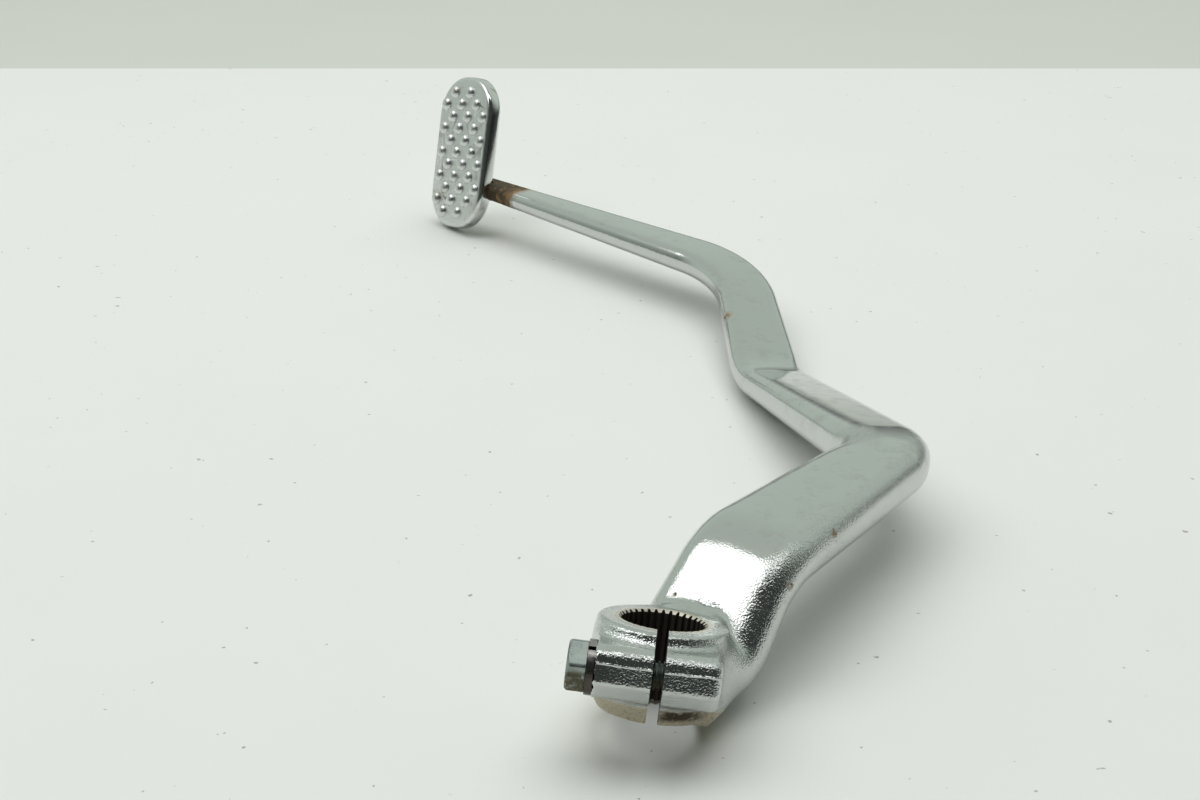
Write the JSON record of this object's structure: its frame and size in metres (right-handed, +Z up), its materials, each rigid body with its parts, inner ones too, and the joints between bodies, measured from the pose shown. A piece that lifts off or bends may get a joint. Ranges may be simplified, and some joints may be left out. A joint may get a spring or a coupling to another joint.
{
  "type": "rear brake pedal",
  "caption": "Forged, chromed rear brake pedal for a motorcycle: splined pinch-clamp boss, swept flat-bar arm and a round-ended studded foot pad set across its end.",
  "frame": {"origin": "middle of the splined bore of the clamp boss, on its axis", "axes": "+Z up from the surface that the pedal lies on, +Y along the arm towards the foot pad, +X to the side of the elbow; the bore axis leans from +Z as the pedal lies at rest"},
  "size_m": [0.1464, 0.3582, 0.0548],
  "materials": {
    "chromed_forging": "polished chrome plate, orange-peeled in the hollows",
    "chromed_pad": "polished chrome plate over a studded plate",
    "zinc_bolt": "worn zinc plate",
    "dark_washer": "blackened spring steel"
  },
  "bodies": {
    "root": {"pedal_arm": "chromed_forging", "foot_pad": "chromed_pad", "pinch_bolt": "zinc_bolt", "spring_washer": "dark_washer"}
  },
  "joints": []
}
